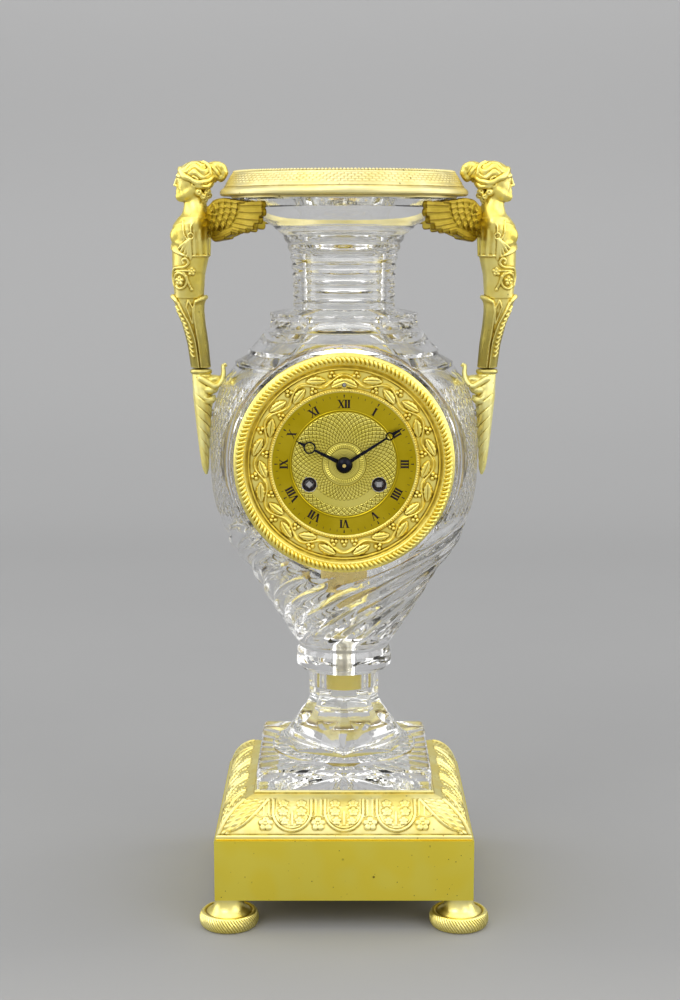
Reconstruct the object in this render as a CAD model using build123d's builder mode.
from build123d import *
from math import atan2, cos, degrees, hypot, pi, radians, sin
import os

# Crystal vase mantel clock. Millimetres, +Z up, the dial faces -Y.
# The origin is on the table, under the axis of the vase.

# Clearances
RUNNING_GAP = 0.03
SHAFT_GAP = 0.05
SEAT_GAP = 0.3
END_SHAKE = 0.3
SCREW_GAP = 0.05

# Base
FOOT_HEIGHT = 17.5
FOOT_RADIUS = 17.6
FOOT_RING_HEIGHT = 9.0
FOOT_RING_ROUND = 2.6
FOOT_WAIST_RADIUS = 8.8
FOOT_SHOULDER_RADIUS = 13.0
FOOT_NECK_RADIUS = 7.5
FOOT_INSET = 8.0
BOX_SIDE = 152.0
BOX_HEIGHT = 36.5
BOX_WALL = 2.5
PAN_THICKNESS = 2.0
LUG_SIDE = 13.0
ROD_RADIUS = 2.0
ROD_DEPTH = 12.0
ROD_REACH = 8.0
MOULDING_HEIGHT = 23.0
MOULDING_SETBACK = 1.0
MOULDING_FILLET = 3.0
MOULDING_STEP = 1.5
MOULDING_BULGE = 3.6
MOULDING_LIP = 1.0
MOULDING_LIP_HEIGHT = 1.5
MOULDING_BORE = 80.0

# Crystal foot
PLINTH_SIDE = 104.0
PLINTH_HEIGHT = 16.0
PLINTH_SEAT = 4.0
ROUND_FOOT_RADIUS = 44.0
ROUND_FOOT_EDGE = 3.0
FLARE_RADIUS = 30.0
FLARE_HEIGHT = 19.0
STEM_SIDES = 8
STEM_RADIUS = 19.6
STEM_LOW_RADIUS = 20.9
STEM_LOW_HEIGHT = 31.0
STEM_TOP_RADIUS = 21.6
STEM_HEIGHT = 51.0
BUSH_RADIUS = 13.0
BUSH_LENGTH = 12.0
BOLT_RADIUS = 5.0
BOLT_HEAD_RADIUS = 12.0
BOLT_HEAD_HEIGHT = 6.0
BOLT_GRIP = 10.0
HEX_SIDES = 6

# Vase: radius and height above the top of the knop
KNOP_RADIUS = 29.1
KNOP_HEIGHT = 14.0
KNOP_BEVEL = 3.0
WAIST = (27.6, 2.0)
BELLY = [
    (30.8, 5.5),
    (47.1, 30.6),
    (68.3, 62.4),
    (79.4, 95.0),
    (80.7, 112.7),
    (77.6, 149.0),
    (65.4, 172.5),
]
SHOULDER = [
    (65.4, 174.5),
    (57.2, 179.0),
    (57.2, 181.5),
    (51.0, 187.5),
    (47.0, 193.0),
    (44.3, 195.0),
    (44.3, 203.5),
]
NECK = [(30.6, 206.0), (30.6, 215.0), (33.4, 241.0), (44.0, 255.0), (67.0, 266.0)]
LIP_THICKNESS = 4.5
VASE_WALL = 7.0
VASE_FLOOR = 12.0
NECK_BORE = 24.0
NECK_BORE_FOOT = 198.0
NECK_BORE_TOP = 240.0
MOUTH_RADIUS = 58.0
FLAT_HALF_DEPTH = 58.0
FLAT_WALL = 9.0
FLAT_TOP = 205.0
BOSS_RADIUS = 66.5
CASE_BORE = 51.5
DIAL_ABOVE_KNOP = 120.0

# Rim ring
RIM_RADIUS = 73.5
RIM_EDGE_LOW = 1.5
RIM_EDGE_HIGH = 6.5
RIM_BEAD_RADIUS = 64.8
RIM_TOP = 16.5
RIM_INNER_RADIUS = 58.0

# Handles: height above the top of the knop, distance from the axis, half width, half depth
TERM = [
    (170.0, 86.0, 5.75, 5.5),
    (185.0, 87.7, 5.9, 5.8),
    (197.0, 90.1, 6.5, 6.5),
    (212.0, 93.5, 9.2, 8.5),
    (226.0, 93.0, 10.0, 11.0),
    (238.0, 91.5, 12.0, 13.0),
    (250.0, 91.5, 11.5, 14.0),
    (259.0, 89.0, 9.0, 11.0),
    (264.0, 87.9, 5.9, 6.0),
    (269.5, 88.4, 6.0, 6.0),
    (273.5, 92.5, 9.0, 7.6),
    (279.0, 91.4, 12.0, 10.0),
    (285.0, 90.2, 12.2, 11.0),
    (289.5, 89.4, 10.0, 9.0),
    (292.3, 89.0, 5.0, 5.0),
]
LEAF = [
    (108.0, 84.0, 1.2, 2.0),
    (119.0, 84.4, 3.0, 5.0),
    (131.0, 84.6, 3.6, 7.0),
    (143.0, 84.4, 4.6, 9.0),
    (155.0, 84.2, 6.2, 9.5),
    (165.0, 85.6, 6.6, 8.0),
]

# Handles: height of the knot of hair, and its distance and radius from the head out
BUN_HEIGHT = 285.0
BUN = [(84.5, 6.5), (78.0, 6.5), (71.5, 3.2)]
LEAF_RING_RADIUS = 6.8
LEAF_BOLT_HEIGHT = 143.0
LEAF_BOLT_RADIUS = 2.0
LEAF_BOLT_DEPTH = 3.0
LEAF_BOLT_DISTANCE = 81.0
LEAF_BOLT_GRIP = 10.2
LEAF_NUT_RADIUS = 4.5
LEAF_NUT_THICKNESS = 3.0

# Wings: outline along the wing and above the knop, and where it leaves the figure's back
WING = [
    (0.0, 247.0),
    (0.0, 260.0),
    (9.0, 267.8),
    (20.0, 268.4),
    (45.0, 267.0),
    (63.0, 264.8),
    (66.0, 262.0),
    (65.0, 257.5),
    (52.0, 250.5),
    (32.0, 246.0),
    (14.0, 244.5),
]
WING_DISTANCE = 78.8
WING_SPREAD = 3.2
WING_TURN = 58.0
WING_THICKNESS = 2.4

# Dial and bezel, radii about the dial's axis and depths from the flat of the glass
BEZEL_RADIUS = 63.5
BEZEL_EDGE = 3.0
CABLE_OUTER = 61.7
CABLE_INNER = 57.0
CABLE_RISE = 8.3
FRIEZE_RISE = 4.4
BEAD_OUTER = 44.9
BEAD_RISE = 5.6
DIAL_OPENING = 42.5
DIAL_RADIUS = 43.8
DIAL_RISE = 3.5
DIAL_THICKNESS = 1.2
DIAL_FOOT_RADIUS = 1.2
DIAL_FOOT_CIRCLE = 38.0
DIAL_FOOT_ANGLES = (60.0, 180.0, 300.0)
SPIGOT_DEPTH = 8.0
SPIGOT_WALL = 1.9
WINDING_HOLE = 4.3
CENTRE_HOLE = 3.0

# Hands: length, pierced ring centre, ring radius, shaft half widths, degrees clockwise from twelve
MINUTE_HAND = (39.3, 30.7, 2.45, 1.15, 0.55, 57.4)
HOUR_HAND = (30.5, 22.0, 3.5, 1.4, 0.6, 296.2)
HAND_RING_WALL = 0.8
HAND_THICKNESS = 0.8
HAND_SPACING = 2.0
HOUR_HAND_RISE = 1.9
MINUTE_EYE_RADIUS = 4.7
HOUR_EYE_RADIUS = 4.4
DOME_HEIGHT = 2.6
DOME_ROUND = 5.0
HAND_POINT = 0.12
HAND_POINT_ROOT = 1.1

# Movement frame: depth of each plate behind the flat of the glass
PLATE_DEPTH = 4.0
PLATE_THICKNESS = 2.0
PILLAR_RADIUS = 2.5
TENON_RADIUS = 1.4
TENON_LENGTH = 1.6
PILLARS = [(14.0, -36.0), (-14.0, -36.0), (33.0, 20.0), (-33.0, 20.0)]
PIN_RADIUS = 0.45
PIN_LENGTH = 7.0
SCREW_RADIUS = 0.9
SCREW_HEAD_RADIUS = 1.8
SCREW_HEAD_HEIGHT = 0.8
STRAP_THICKNESS = 1.5
STRAP_WIDTH = 10.0
STRAP_GAP = 0.1
STRAP_ANGLES = (15.0, 165.0)
PLATE_SCREW_ANGLES = (45.0, 135.0, 225.0, 315.0)
PLATE_SCREW_GRIP = 2.0

# Teeth: addendum and dedendum in modules, thickness as a share of the pitch
WHEEL_TOOTH = (0.8, 1.3, 0.40)
PINION_TOOTH = (0.6, 1.35, 0.36)
TOOTH_TIP = 0.5
TOOTH_ROOT = 1.3
SAW_RUN = 0.85
RIM_WIDTH = 1.4
SPOKES = 5
SPOKE_WIDTH = 1.3
WHEEL_THICKNESS = 1.0
PINION_OVERHANG = 0.4
LAYER_GAP = 0.8
HUB_RADIUS = 2.2
ARBOR_RADIUS = 0.6
PIVOT_RADIUS = 0.4
CENTRE_ARBOR = 1.0
CANNON_PIPE = 1.7
HOUR_PIPE = 2.6
HOUR_HUB = 3.6
MOTION_STUD = 1.0

# Trains: tooth counts and modules
GREAT_TEETH = 84
GREAT_PINION = 14
GREAT_MODULE = 0.44
SECOND_TEETH = 70
SECOND_PINION = 10
SECOND_MODULE = 0.36
CENTRE_TEETH = 84
CENTRE_PINION = 7
CENTRE_MODULE = 0.3
THIRD_TEETH = 90
THIRD_PINION = 6
THIRD_MODULE = 0.26
PINWHEEL_TEETH = 60
PINWHEEL_PINION = 6
PINWHEEL_MODULE = 0.3
WARNING_TEETH = 48
WARNING_PINION = 6
WARNING_MODULE = 0.25
MINUTE_TEETH = 36
CANNON_TEETH = 12
MINUTE_MODULE = 0.5
HOUR_TEETH = 40
HOUR_PINION = 10
HOUR_MODULE = 0.48

# Bearings of the arbors that are free to be placed, in degrees
THIRD_ANGLE = 97.0
STRIKE_SECOND_ANGLE = 80.0
PINWHEEL_ANGLE = 100.0
WARNING_ANGLE = 60.0
FLY_ANGLE = 160.0

# Barrels
WINDING_SPACING = 40.0
WINDING_DROP = 11.8
BARREL_RADIUS = 17.2
BARREL_WALL = 1.0
BARREL_INSET = 2.0
BARREL_LENGTH = 14.0
BARREL_ARBOR = 2.5
BARREL_PIVOT = 1.5
BARREL_HUB = 4.0
GREAT_THICKNESS = 2.0
SPRING_TURNS = 7
SPRING_THICKNESS = 0.5
RATCHET_RADIUS = 6.0
RATCHET_DEPTH = 0.8
RATCHET_TEETH = 24
RATCHET_THICKNESS = 1.2
CLICK_DISTANCE = 9.5
CLICK_ANGLE = 60.0
CLICK_RADIUS = 2.0
CLICK_STUD = 0.8
CLICK_NOSE = 1.2
CLICK_LEAD = 30.0
KEY_SQUARE = 3.0
KEY_RECESS = 0.6
SQUARE_TURN = {"going": 0.0, "strike": pi / 4}

# Escapement, pendulum and regulator
ESCAPE_RADIUS = 8.5
ESCAPE_DEPTH = 1.9
ESCAPE_TEETH = 30
ESCAPE_INSET = 7.0
ESCAPE_TO_THIRD = 5.0
ANCHOR_DISTANCE = 11.0
PALLET_RADIUS = 9.3
PALLET_ANGLE = 40.0
PALLET_LENGTH = 1.6
PALLET_WIDTH = 1.2
CRUTCH_LENGTH = 28.0
PRONG_REACH = 1.6
PENDULUM_ROD = 0.8
FORK_GAP = 0.25
CRUTCH_TO_PENDULUM = 6.0
PENDULUM_LENGTH = 110.0
BOB_RADIUS = 14.0
BOB_THICKNESS = 7.0
BOB_EDGE = 2.0
BOB_FLAT = 6.0
THREAD_RADIUS = 0.25
REGULATOR_HEIGHT = 45.4
REGULATOR_RADIUS = 0.9
REGULATOR_HOLE = 1.35
REGULATOR_NOTCH = 5.4
COCK_HALF_WIDTH = 7.0
COCK_THICKNESS = 1.5
COCK_REACH = 4.0
COCK_EDGE = 0.9
COCK_DROP = 2.0

# Strike work
COUNT_RADIUS = 15.0
COUNT_NOTCH = 2.2
COUNT_NOTCH_WIDTH = 1.1
HOURS = 12
STRIKE_PINS = 8
STRIKE_PIN_CIRCLE = 7.2
STRIKE_PIN_RADIUS = 0.45
STRIKE_PIN_LENGTH = 1.8
FLY_RADIUS = 5.5
FLY_LENGTH = 9.0
FLY_THICKNESS = 0.6
HAMMER_PIVOT = (-33.0, 6.0)
HAMMER_RADIUS = 4.0
HAMMER_ANGLE = 155.0
HAMMER_GAP = 1.0
HAMMER_ARM = 1.8
BELL_RADIUS = 30.0
BELL_HEIGHT = 16.0
BELL_WALL = 1.4
BELL_ROUND = 34.0
BELL_SCREW_RADIUS = 1.5
PENDULUM_TO_BELL = 35.0
BELL_POST = (27.0, 12.0)
BELL_POST_RADIUS = 2.5

# Back door
BACK_BEZEL_RADIUS = 62.0
BACK_BEZEL_RISE = 4.0
DOOR_RADIUS = 56.0
DOOR_OPENING = 46.0
DOOR_THICKNESS = 4.0
DOOR_GAP = 0.4
GLASS_RADIUS = 48.0
GLASS_THICKNESS = 1.6
HINGE_RADIUS = 2.2
HINGE_PIN_RADIUS = 1.1
HINGE_LENGTH = 8.0
THUMB_LENGTH = 3.0
THUMB_THICKNESS = 1.5

# Levels that follow from the sizes above
BOX_TOP = FOOT_HEIGHT + BOX_HEIGHT
MOULDING_TOP = BOX_TOP + MOULDING_HEIGHT
PLINTH_BOTTOM = MOULDING_TOP - PLINTH_SEAT
PLINTH_TOP = PLINTH_BOTTOM + PLINTH_HEIGHT
STEM_TOP = PLINTH_TOP + STEM_HEIGHT
KNOP_TOP = STEM_TOP + KNOP_HEIGHT
LIP_TOP = KNOP_TOP + NECK[-1][1] + LIP_THICKNESS
DIAL_HEIGHT = KNOP_TOP + DIAL_ABOVE_KNOP
FOOT_SPACING = BOX_SIDE - 2 * FOOT_INSET

# Depths along Y: the front of the case, then the layers of the trains from the front plate back
FLAT = -FLAT_HALF_DEPTH
DIAL_FRONT = FLAT - DIAL_RISE
DIAL_BACK = DIAL_FRONT + DIAL_THICKNESS
HOUR_FRONT = DIAL_FRONT - HOUR_HAND_RISE - HAND_THICKNESS
MINUTE_FRONT = HOUR_FRONT - HAND_SPACING
FRONT_FACE = FLAT + PLATE_DEPTH
FRONT_INSIDE = FRONT_FACE + PLATE_THICKNESS
LAYER_PITCH = WHEEL_THICKNESS + LAYER_GAP
ESCAPE_LAYER = FRONT_INSIDE + ESCAPE_INSET
THIRD_LAYER = ESCAPE_LAYER + ESCAPE_TO_THIRD
WARNING_LAYER = THIRD_LAYER + LAYER_PITCH
BARREL_FRONT = FRONT_INSIDE + BARREL_INSET
GREAT_LAYER = BARREL_FRONT + BARREL_LENGTH
SECOND_LAYER = GREAT_LAYER + GREAT_THICKNESS + LAYER_GAP
STRIKE_LAYER = SECOND_LAYER + LAYER_PITCH
CENTRE_LAYER = STRIKE_LAYER + LAYER_PITCH
PINWHEEL_LAYER = CENTRE_LAYER + LAYER_PITCH
BACK_INSIDE = PINWHEEL_LAYER + WHEEL_THICKNESS + STRIKE_PIN_LENGTH + LAYER_GAP
BACK_FACE = BACK_INSIDE + PLATE_THICKNESS
CANNON_LAYER = FRONT_FACE - LAYER_PITCH
HOUR_LAYER = CANNON_LAYER - LAYER_PITCH
COUNT_LAYER = BACK_FACE + LAYER_GAP
CRUTCH_LAYER = COUNT_LAYER + LAYER_PITCH
PENDULUM_Y = CRUTCH_LAYER + CRUTCH_TO_PENDULUM
BELL_RIM = PENDULUM_Y + PENDULUM_TO_BELL

# Radii of the case's fit
SPIGOT_INNER = DIAL_RADIUS + SEAT_GAP
SPIGOT_OUTER = SPIGOT_INNER + SPIGOT_WALL
STRAP_INNER = SPIGOT_OUTER + STRAP_GAP
PLATE_MIDDLE = FRONT_FACE + PLATE_THICKNESS / 2
PLATE_SCREW_END = DIAL_RADIUS - PLATE_SCREW_GRIP
CLICK_LAYER = FRONT_FACE - SEAT_GAP - RATCHET_THICKNESS


def mesh_distance(wheel_teeth, pinion_teeth, module):
    """Distance between the centres of a wheel and its pinion."""
    return module * (wheel_teeth + pinion_teeth) / 2


def third_point(a, b, from_a, from_b, side):
    """The point at two given distances from a and b, on the left (+1) or right (-1) of the line."""
    dx, dz = b[0] - a[0], b[1] - a[1]
    span = hypot(dx, dz)
    along = (from_a**2 - from_b**2 + span**2) / (2 * span)
    across = (from_a**2 - along**2) ** 0.5 * side
    return (a[0] + (dx * along - dz * across) / span, a[1] + (dz * along + dx * across) / span)


def polar(centre, radius, angle):
    """The point at a radius and an angle in degrees from a centre."""
    return (centre[0] + radius * cos(radians(angle)), centre[1] + radius * sin(radians(angle)))


# Centres of the arbors, x and z from the dial's centre
CENTRE = (0.0, 0.0)
GOING = (WINDING_SPACING / 2, -WINDING_DROP)
STRIKE = (-WINDING_SPACING / 2, -WINDING_DROP)
GREAT_DISTANCE = mesh_distance(GREAT_TEETH, GREAT_PINION, GREAT_MODULE)
SECOND_DISTANCE = mesh_distance(SECOND_TEETH, SECOND_PINION, SECOND_MODULE)
SECOND = third_point(CENTRE, GOING, SECOND_DISTANCE, GREAT_DISTANCE, 1)
STRIKE_SECOND = polar(STRIKE, GREAT_DISTANCE, STRIKE_SECOND_ANGLE)
THIRD = polar(CENTRE, mesh_distance(CENTRE_TEETH, CENTRE_PINION, CENTRE_MODULE), THIRD_ANGLE)
ESCAPE_DISTANCE = mesh_distance(THIRD_TEETH, THIRD_PINION, THIRD_MODULE)
ESCAPE = (0.0, THIRD[1] + (ESCAPE_DISTANCE**2 - THIRD[0] ** 2) ** 0.5)
ANCHOR = (0.0, ESCAPE[1] + ANCHOR_DISTANCE)
MOTION = (0.0, mesh_distance(MINUTE_TEETH, CANNON_TEETH, MINUTE_MODULE))
PINWHEEL = polar(STRIKE_SECOND, SECOND_DISTANCE, PINWHEEL_ANGLE)
WARNING = polar(PINWHEEL, mesh_distance(PINWHEEL_TEETH, PINWHEEL_PINION, PINWHEEL_MODULE), WARNING_ANGLE)
FLY = polar(WARNING, mesh_distance(WARNING_TEETH, WARNING_PINION, WARNING_MODULE), FLY_ANGLE)
HAMMER_HEAD = polar(CENTRE, BELL_RADIUS + HAMMER_GAP + HAMMER_RADIUS, HAMMER_ANGLE)

DIAL_AXIS = Axis((0, 0, DIAL_HEIGHT), (0, 1, 0))

os.makedirs("parts", exist_ok=True)


def save(builder, name):
    """Labels a finished piece and writes its file."""
    builder.part.label = name
    export_step(builder.part, f"parts/{name}.step")


def across(centre, y, turn=0.0):
    """A plane across the movement at a centre, facing the viewer, its x axis turned by radians."""
    origin = (centre[0], y, DIAL_HEIGHT + centre[1])
    return Plane(origin=origin, x_dir=(cos(turn), 0, sin(turn)), z_dir=(0, -1, 0))


def disc(centre, radius, front, back, mode=Mode.ADD):
    """A round bar along Y in the current part."""
    with BuildSketch(across(centre, back)) as outline:
        Circle(radius)
    extrude(outline.sketch, amount=back - front, mode=mode)


def bar(start, end, width, front, back, mode=Mode.ADD):
    """A flat bar between two centres in the current part."""
    middle = ((start[0] + end[0]) / 2, (start[1] + end[1]) / 2)
    run = (end[0] - start[0], end[1] - start[1])
    with BuildSketch(across(middle, back, atan2(run[1], run[0]))) as outline:
        Rectangle(hypot(*run), width)
    extrude(outline.sketch, amount=back - front, mode=mode)


def spoke(angle, y, inner, outer, radius, mode=Mode.ADD):
    """A round bar that points away from the dial's axis in the current part."""
    way = (cos(radians(angle)), 0, sin(radians(angle)))
    start = (inner * way[0], y, DIAL_HEIGHT + inner * way[2])
    with BuildSketch(Plane(origin=start, z_dir=way)) as outline:
        Circle(radius)
    extrude(outline.sketch, amount=outer - inner, mode=mode)


def tooth_points(teeth, module, form, phase):
    """Corners of a toothed outline, with one tooth centred on the angle phase."""
    addendum, dedendum, share = form
    tip = module * (teeth / 2 + addendum)
    root = module * (teeth / 2 - dedendum)
    half = share * pi / teeth
    wide, narrow = half * TOOTH_ROOT, half * TOOTH_TIP
    corners = ((root, -wide), (tip, -narrow), (tip, narrow), (root, wide))
    points = []
    for tooth in range(teeth):
        middle = phase + 2 * pi * tooth / teeth
        points += [(radius * cos(middle + turn), radius * sin(middle + turn)) for radius, turn in corners]
    return points


def bearing(centre, other):
    """The angle from one centre towards another, in radians."""
    return atan2(other[1] - centre[1], other[0] - centre[0])


def wheel(centre, partner, teeth, module, front, hub=HUB_RADIUS, thickness=WHEEL_THICKNESS):
    """A crossed-out wheel with a tooth towards its partner in the current part."""
    rim = module * (teeth / 2 - WHEEL_TOOTH[1]) - RIM_WIDTH
    with BuildSketch(across(centre, front + thickness)) as outline:
        Polygon(*tooth_points(teeth, module, WHEEL_TOOTH, bearing(centre, partner)), align=None)
        Circle(rim, mode=Mode.SUBTRACT)
        Circle(hub)
        with PolarLocations(rim / 2, SPOKES):
            Rectangle(rim + RIM_WIDTH / 2, SPOKE_WIDTH)
    extrude(outline.sketch, amount=thickness)


def pinion(centre, partner, teeth, module, front, back):
    """A solid pinion with a gap towards its partner in the current part."""
    phase = bearing(centre, partner) + pi / teeth
    with BuildSketch(across(centre, back)) as outline:
        Polygon(*tooth_points(teeth, module, PINION_TOOTH, phase), align=None)
    extrude(outline.sketch, amount=back - front)


def arbor(centre, front, back):
    """An arbor between the plates that leaves room for a pinion from front to back, with its pivots."""
    disc(centre, ARBOR_RADIUS, FRONT_INSIDE + END_SHAKE, front)
    disc(centre, ARBOR_RADIUS, back, BACK_INSIDE - END_SHAKE)
    disc(centre, PIVOT_RADIUS, FRONT_FACE, FRONT_INSIDE + END_SHAKE)
    disc(centre, PIVOT_RADIUS, BACK_INSIDE - END_SHAKE, BACK_FACE)


def pinion_span(layer, thickness=WHEEL_THICKNESS):
    """Front and back of a pinion that meshes with a wheel in a layer."""
    return layer - PINION_OVERHANG, layer + thickness + PINION_OVERHANG


# Feet
with BuildPart() as foot:
    with BuildSketch(Plane.XZ):
        with BuildLine():
            sole = FOOT_RADIUS - FOOT_RING_ROUND
            waist_height = FOOT_RING_HEIGHT + (FOOT_HEIGHT - FOOT_RING_HEIGHT) / 2
            Line((0, 0), (sole, 0))
            ThreePointArc((sole, 0), (FOOT_RADIUS, FOOT_RING_HEIGHT / 2), (sole, FOOT_RING_HEIGHT))
            Line((sole, FOOT_RING_HEIGHT), (FOOT_SHOULDER_RADIUS, FOOT_RING_HEIGHT))
            ThreePointArc(
                (FOOT_SHOULDER_RADIUS, FOOT_RING_HEIGHT),
                (FOOT_WAIST_RADIUS, waist_height),
                (FOOT_NECK_RADIUS, FOOT_HEIGHT),
            )
            Polyline((FOOT_NECK_RADIUS, FOOT_HEIGHT), (0, FOOT_HEIGHT), (0, 0))
        make_face()
    revolve(axis=Axis.Z)
    with BuildSketch(Plane.XY.offset(FOOT_HEIGHT)):
        Circle(ROD_RADIUS + SCREW_GAP)
    extrude(amount=-ROD_DEPTH, mode=Mode.SUBTRACT)

with BuildPart() as feet:
    with GridLocations(FOOT_SPACING, FOOT_SPACING, 2, 2):
        add(foot.part)
save(feet, "feet")

# Base box with a lug in each corner, and the pan that closes it
with BuildPart() as base_box:
    with BuildSketch(Plane.XY.offset(FOOT_HEIGHT)):
        Rectangle(BOX_SIDE, BOX_SIDE)
    extrude(amount=BOX_HEIGHT)
    with BuildSketch(Plane.XY.offset(FOOT_HEIGHT)):
        Rectangle(BOX_SIDE - 2 * BOX_WALL, BOX_SIDE - 2 * BOX_WALL)
    extrude(amount=BOX_HEIGHT - BOX_WALL, mode=Mode.SUBTRACT)
    lug_spacing = BOX_SIDE - 2 * BOX_WALL - LUG_SIDE
    with BuildSketch(Plane.XY.offset(FOOT_HEIGHT + PAN_THICKNESS)):
        with GridLocations(lug_spacing, lug_spacing, 2, 2):
            Rectangle(LUG_SIDE, LUG_SIDE)
    extrude(amount=BOX_HEIGHT - PAN_THICKNESS)
    with BuildSketch(Plane.XY.offset(FOOT_HEIGHT)):
        with GridLocations(FOOT_SPACING, FOOT_SPACING, 2, 2):
            Circle(ROD_RADIUS + SCREW_GAP)
    extrude(amount=BOX_HEIGHT, mode=Mode.SUBTRACT)
save(base_box, "base_box")

with BuildPart() as base_pan:
    pan_side = BOX_SIDE - 2 * BOX_WALL - 2 * SEAT_GAP
    with BuildSketch(Plane.XY.offset(FOOT_HEIGHT)):
        Rectangle(pan_side, pan_side)
        with GridLocations(FOOT_SPACING, FOOT_SPACING, 2, 2):
            Circle(ROD_RADIUS + SCREW_GAP, mode=Mode.SUBTRACT)
    extrude(amount=PAN_THICKNESS)
save(base_pan, "base_pan")

# Tie rods from each foot through the box into the moulding
with BuildPart() as tie_rods:
    with BuildSketch(Plane.XY.offset(FOOT_HEIGHT - ROD_DEPTH)):
        with GridLocations(FOOT_SPACING, FOOT_SPACING, 2, 2):
            Circle(ROD_RADIUS)
    extrude(amount=ROD_DEPTH + BOX_HEIGHT + ROD_REACH)
save(tie_rods, "tie_rods")


def moulding_profile():
    """The section of the base moulding across its whole width, as a closed line in the current sketch."""
    low = BOX_SIDE / 2 - MOULDING_SETBACK
    step = low - MOULDING_STEP
    high = PLINTH_SIDE / 2 + SEAT_GAP + MOULDING_LIP
    start = BOX_TOP + MOULDING_FILLET
    end = MOULDING_TOP - MOULDING_LIP_HEIGHT
    run = hypot(step - high, end - start)
    middle = ((step + high) / 2, (start + end) / 2)
    crown_x = middle[0] + MOULDING_BULGE * (end - start) / run
    crown_z = middle[1] + MOULDING_BULGE * (step - high) / run
    with BuildSketch(mode=Mode.PRIVATE) as profile:
        with BuildLine():
            Polyline((0, BOX_TOP), (low, BOX_TOP), (low, start), (step, start))
            ThreePointArc((step, start), (crown_x, crown_z), (high, end))
            Polyline((high, end), (high, MOULDING_TOP), (0, MOULDING_TOP), (0, BOX_TOP))
        make_face()
        mirror(about=Plane.YZ)
    return profile.sketch_local


# Base moulding: the section run both ways, with a seat for the plinth
with BuildPart() as base_moulding:
    section = moulding_profile()
    with BuildSketch(Plane.XZ):
        add(section)
    extrude(amount=BOX_SIDE / 2, both=True)
    with BuildSketch(Plane.YZ):
        add(section)
    extrude(amount=BOX_SIDE / 2, both=True, mode=Mode.INTERSECT)
    with BuildSketch(Plane.XY.offset(PLINTH_BOTTOM)):
        Rectangle(PLINTH_SIDE + 2 * SEAT_GAP, PLINTH_SIDE + 2 * SEAT_GAP)
    extrude(amount=PLINTH_SEAT, mode=Mode.SUBTRACT)
    with BuildSketch(Plane.XY.offset(BOX_TOP)):
        Rectangle(MOULDING_BORE, MOULDING_BORE)
    extrude(amount=MOULDING_HEIGHT, mode=Mode.SUBTRACT)
    with BuildSketch(Plane.XY.offset(BOX_TOP)):
        with GridLocations(FOOT_SPACING, FOOT_SPACING, 2, 2):
            Circle(ROD_RADIUS + SCREW_GAP)
    extrude(amount=ROD_REACH, mode=Mode.SUBTRACT)
save(base_moulding, "base_moulding")

# Crystal foot: plinth, round foot and faceted stem
with BuildPart() as foot_glass:
    with BuildSketch(Plane.XY.offset(PLINTH_BOTTOM)):
        Rectangle(PLINTH_SIDE, PLINTH_SIDE)
    extrude(amount=PLINTH_HEIGHT)
    with BuildSketch(Plane.XZ):
        with BuildLine():
            edge = PLINTH_TOP + ROUND_FOOT_EDGE
            stem_low = (STEM_LOW_RADIUS, PLINTH_TOP + STEM_LOW_HEIGHT)
            Polyline((0, PLINTH_TOP), (ROUND_FOOT_RADIUS, PLINTH_TOP), (ROUND_FOOT_RADIUS, edge))
            ThreePointArc((ROUND_FOOT_RADIUS, edge), (FLARE_RADIUS, PLINTH_TOP + FLARE_HEIGHT), stem_low)
            Polyline(stem_low, (STEM_TOP_RADIUS, STEM_TOP), (0, STEM_TOP), (0, PLINTH_TOP))
        make_face()
    revolve(axis=Axis.Z)
    with BuildSketch(Plane.XY.offset(PLINTH_TOP + STEM_LOW_HEIGHT)):
        Circle(ROUND_FOOT_RADIUS)
        RegularPolygon(STEM_RADIUS, STEM_SIDES, major_radius=False, mode=Mode.SUBTRACT)
    extrude(amount=STEM_HEIGHT - STEM_LOW_HEIGHT, mode=Mode.SUBTRACT)
    with BuildSketch(Plane.XY.offset(STEM_TOP)):
        Circle(BUSH_RADIUS + SCREW_GAP)
    extrude(amount=-BUSH_LENGTH, mode=Mode.SUBTRACT)
save(foot_glass, "foot_glass")

with BuildPart() as foot_bush:
    with BuildSketch(Plane.XY.offset(STEM_TOP)):
        Circle(BUSH_RADIUS)
        Circle(BOLT_RADIUS + SCREW_GAP, mode=Mode.SUBTRACT)
    extrude(amount=-BUSH_LENGTH)
save(foot_bush, "foot_bush")

with BuildPart() as vase_bolt:
    with BuildSketch(Plane.XY.offset(STEM_TOP - BOLT_GRIP)):
        Circle(BOLT_RADIUS)
    extrude(amount=BOLT_GRIP + KNOP_HEIGHT + VASE_FLOOR)
    with BuildSketch(Plane.XY.offset(KNOP_TOP + VASE_FLOOR)):
        RegularPolygon(BOLT_HEAD_RADIUS, HEX_SIDES)
    extrude(amount=BOLT_HEAD_HEIGHT)
save(vase_bolt, "vase_bolt")


def above_knop(point):
    """A point of the vase's outline, from radius and height above the knop."""
    return (point[0], KNOP_TOP + point[1])


def flatten(half_depth):
    """Cuts the current part flat in front and behind, from the knop to the collar."""
    thickness = 2 * BOSS_RADIUS
    middle = half_depth + thickness / 2
    with Locations((0, middle, KNOP_TOP + FLAT_TOP / 2), (0, -middle, KNOP_TOP + FLAT_TOP / 2)):
        Box(4 * BOSS_RADIUS, thickness, FLAT_TOP, mode=Mode.SUBTRACT)


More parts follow.
